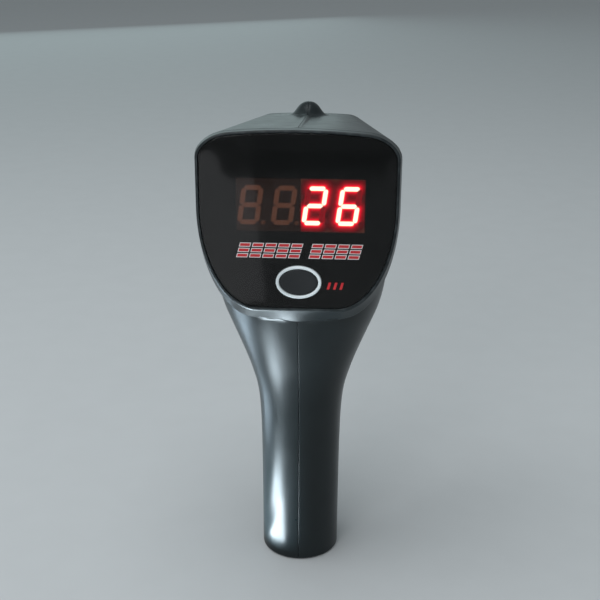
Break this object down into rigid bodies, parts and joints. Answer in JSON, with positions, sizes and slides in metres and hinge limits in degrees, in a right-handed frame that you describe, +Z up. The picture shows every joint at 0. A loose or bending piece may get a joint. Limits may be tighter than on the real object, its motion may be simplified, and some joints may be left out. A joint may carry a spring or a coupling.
{
  "type": "speed radar gun",
  "caption": "Hand-held speed radar gun: tapering barrel on a round pistol grip, shield-shaped smoked display with red digits, oval key, sight ridge on top.",
  "frame": {"origin": "centre of the grip's flat base", "axes": "+Z up along the grip, +Y along the radar beam towards the front, +X to the operator's right"},
  "size_m": [0.102, 0.1405, 0.2569],
  "materials": {
    "housing_plastic": "satin dark slate, fine moulded grain",
    "smoked_window": "smoked acrylic, glossy, nearly black",
    "white_trim": "white, smooth",
    "key_plastic": "dark grey, satin",
    "led_face": "dark reddish grey face, matt",
    "board": "green solder mask",
    "black_plastic": "black, matt",
    "steel": "zinc-plated steel",
    "tinned_steel": "tinned sheet",
    "rubber": "black, matt",
    "cell_sleeve": "blue shrink sleeve",
    "nylon": "natural nylon",
    "red_insulation": "red insulation",
    "black_insulation": "black insulation",
    "grey_insulation": "grey insulation"
  },
  "bodies": {
    "housing": {"left_shell": "housing_plastic", "right_shell": "housing_plastic", "rear_bezel": "housing_plastic", "front_ring": "housing_plastic", "base_plate": "housing_plastic", "display_window": "smoked_window", "button_ring": "white_trim", "front_cover": "key_plastic", "led_module_left": "led_face", "led_module_right": "led_face", "display_board": "board", "radar_board": "board", "processor_chip": "black_plastic", "key_switch": "black_plastic", "trigger_switch": "black_plastic", "charging_jack": "black_plastic", "board_screw_1": "steel", "board_screw_2": "steel", "board_screw_3": "steel", "board_screw_4": "steel", "radar_screw_1": "steel", "radar_screw_2": "steel", "radar_screw_3": "steel", "radar_screw_4": "steel", "housing_screw_1": "steel", "housing_screw_2": "steel", "housing_screw_3": "steel", "housing_screw_4": "steel", "housing_screw_5": "steel", "housing_screw_6": "steel", "trigger_pin": "steel", "radar_shield": "tinned_steel", "battery_link": "tinned_steel", "front_gasket": "rubber", "battery_cell_left": "cell_sleeve", "battery_cell_right": "cell_sleeve", "radar_bracket": "nylon", "battery_cradle": "nylon", "battery_connector": "nylon", "trigger_connector": "nylon", "ribbon_connector_rear": "nylon", "ribbon_connector_front": "nylon", "battery_lead_positive": "red_insulation", "battery_lead_negative": "black_insulation", "trigger_lead": "grey_insulation", "ribbon_cable": "grey_insulation"},
    "trigger": {"trigger": "housing_plastic", "trigger_spring": "steel"},
    "function_key": {"button_cap": "key_plastic", "key_switch_stem": "rubber"},
    "switch_plunger": {"trigger_switch_plunger": "red_insulation"}
  },
  "joints": [
    {"name": "trigger_pull", "type": "hinge", "parent": "housing", "child": "trigger", "pos_m": [0, 0.0205, 0.145], "axis": [-1, 0, 0], "range_deg": [0, 8], "stiffness_Nm_per_rad": 0.4, "springref_deg": -8.59},
    {"name": "key_press", "type": "slide", "parent": "housing", "child": "function_key", "axis": [0, 1, 0], "range_m": [0, 0.0006], "stiffness_N_per_m": 1200, "springref_m": -0.0006},
    {"name": "plunger_press", "type": "slide", "parent": "housing", "child": "switch_plunger", "axis": [0, -1, 0], "range_m": [0, 0.0015]}
  ],
  "couplings": [
    {"joint": "plunger_press", "follows": "trigger_pull", "m_per_rad": 0.01}
  ]
}
